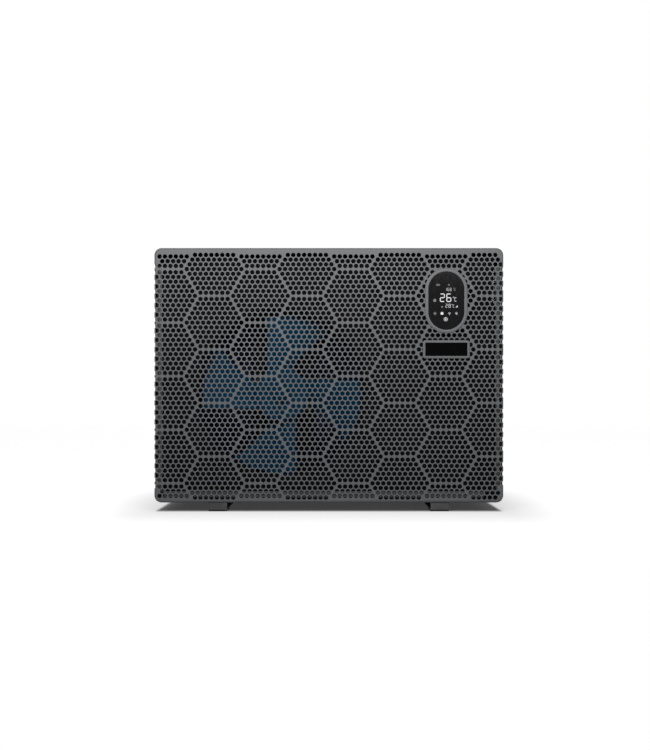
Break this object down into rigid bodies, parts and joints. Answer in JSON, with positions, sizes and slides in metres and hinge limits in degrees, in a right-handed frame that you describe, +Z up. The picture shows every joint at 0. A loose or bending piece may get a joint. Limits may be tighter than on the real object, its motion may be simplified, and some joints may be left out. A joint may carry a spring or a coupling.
{
  "type": "pool heat pump",
  "caption": "Free-standing pool-water heat pump: perforated honeycomb front shell with a display, casing on foot rails, spinning fan behind the grille, coil, water unions at the rear.",
  "frame": {"origin": "on the floor, in the middle of the unit's footprint, unions included", "axes": "+Z up, +X to the right and -Y out of the front for someone who faces the grille"},
  "size_m": [0.872, 0.397, 0.658],
  "materials": {
    "panel_coat": "fine satin anthracite metallic coat",
    "case_coat": "satin anthracite powder coat",
    "galvanised": "galvanised sheet",
    "inner_sheet": "dark grey coated sheet",
    "moulded_black": "fine-grained moulding",
    "bezel_grey": "satin grey",
    "window_black": "polished",
    "fan_blue": "moulded, satin",
    "fin_blue": "blue hydrophilic coat",
    "copper": "drawn copper tube",
    "black_enamel": "gloss enamel",
    "steel": "zinc plated",
    "pvc_grey": "moulded pipe",
    "pvc_white": "moulded barrel",
    "rubber": "moulded",
    "board_green": "lacquered board",
    "board_parts": "moulded",
    "heat_sink": "extruded"
  },
  "bodies": {
    "unit": {"base_pan": "case_coat", "drain_spout": "moulded_black", "foot_rails": "case_coat", "foot_caps": "moulded_black", "foot_pads": "rubber", "front_panel": "panel_coat", "display_bezel": "bezel_grey", "display_window": "window_black", "display_housing": "moulded_black", "display_board": "board_green", "nameplate_frame": "bezel_grey", "nameplate": "window_black", "top_cover": "case_coat", "left_side_panel": "case_coat", "right_side_panel": "case_coat", "handle_cups": "moulded_black", "rear_guard": "moulded_black", "rear_service_panel": "case_coat", "casing_screws": "steel", "partition_plate": "galvanised", "fan_shroud": "inner_sheet", "bay_panel": "inner_sheet", "fan_motor": "black_enamel", "motor_bracket": "inner_sheet", "evaporator_fins": "fin_blue", "coil_end_plates": "galvanised", "coil_feet": "rubber", "coil_return_bends": "copper", "compressor": "black_enamel", "compressor_plate": "black_enamel", "compressor_grommets": "rubber", "mounting_bolts": "steel", "terminal_cover": "moulded_black", "accumulator": "black_enamel", "accumulator_strap": "black_enamel", "heat_exchanger": "pvc_white", "exchanger_caps": "pvc_grey", "exchanger_stand": "galvanised", "union_washers": "rubber", "union_tails": "pvc_grey", "cable_glands": "moulded_black", "gland_nuts": "moulded_black", "box_shelf": "galvanised", "electrical_box": "galvanised", "box_lid": "galvanised", "board_pillars": "moulded_black", "control_board": "board_green", "power_parts": "board_parts", "heat_sink": "heat_sink", "reversing_valve": "copper", "gas_pipes": "copper", "suction_header": "copper", "expansion_valve": "copper", "liquid_pipes": "copper"},
    "fan": {"fan_rotor": "fan_blue", "fan_shaft": "steel", "fan_nut": "steel"},
    "inlet_ring": {"inlet_nut": "pvc_grey"},
    "outlet_ring": {"outlet_nut": "pvc_grey"}
  },
  "joints": [
    {"name": "fan_spin", "type": "hinge", "parent": "unit", "child": "fan", "pos_m": [-0.121, -0.1035, 0.293], "axis": [0, 1, 0], "continuous": true},
    {"name": "inlet_nut_turn", "type": "hinge", "parent": "unit", "child": "inlet_ring", "pos_m": [0.35, 0.174, 0.132], "axis": [0, 1, 0], "continuous": true},
    {"name": "outlet_nut_turn", "type": "hinge", "parent": "unit", "child": "outlet_ring", "pos_m": [0.35, 0.174, 0.372], "axis": [0, 1, 0], "continuous": true}
  ]
}
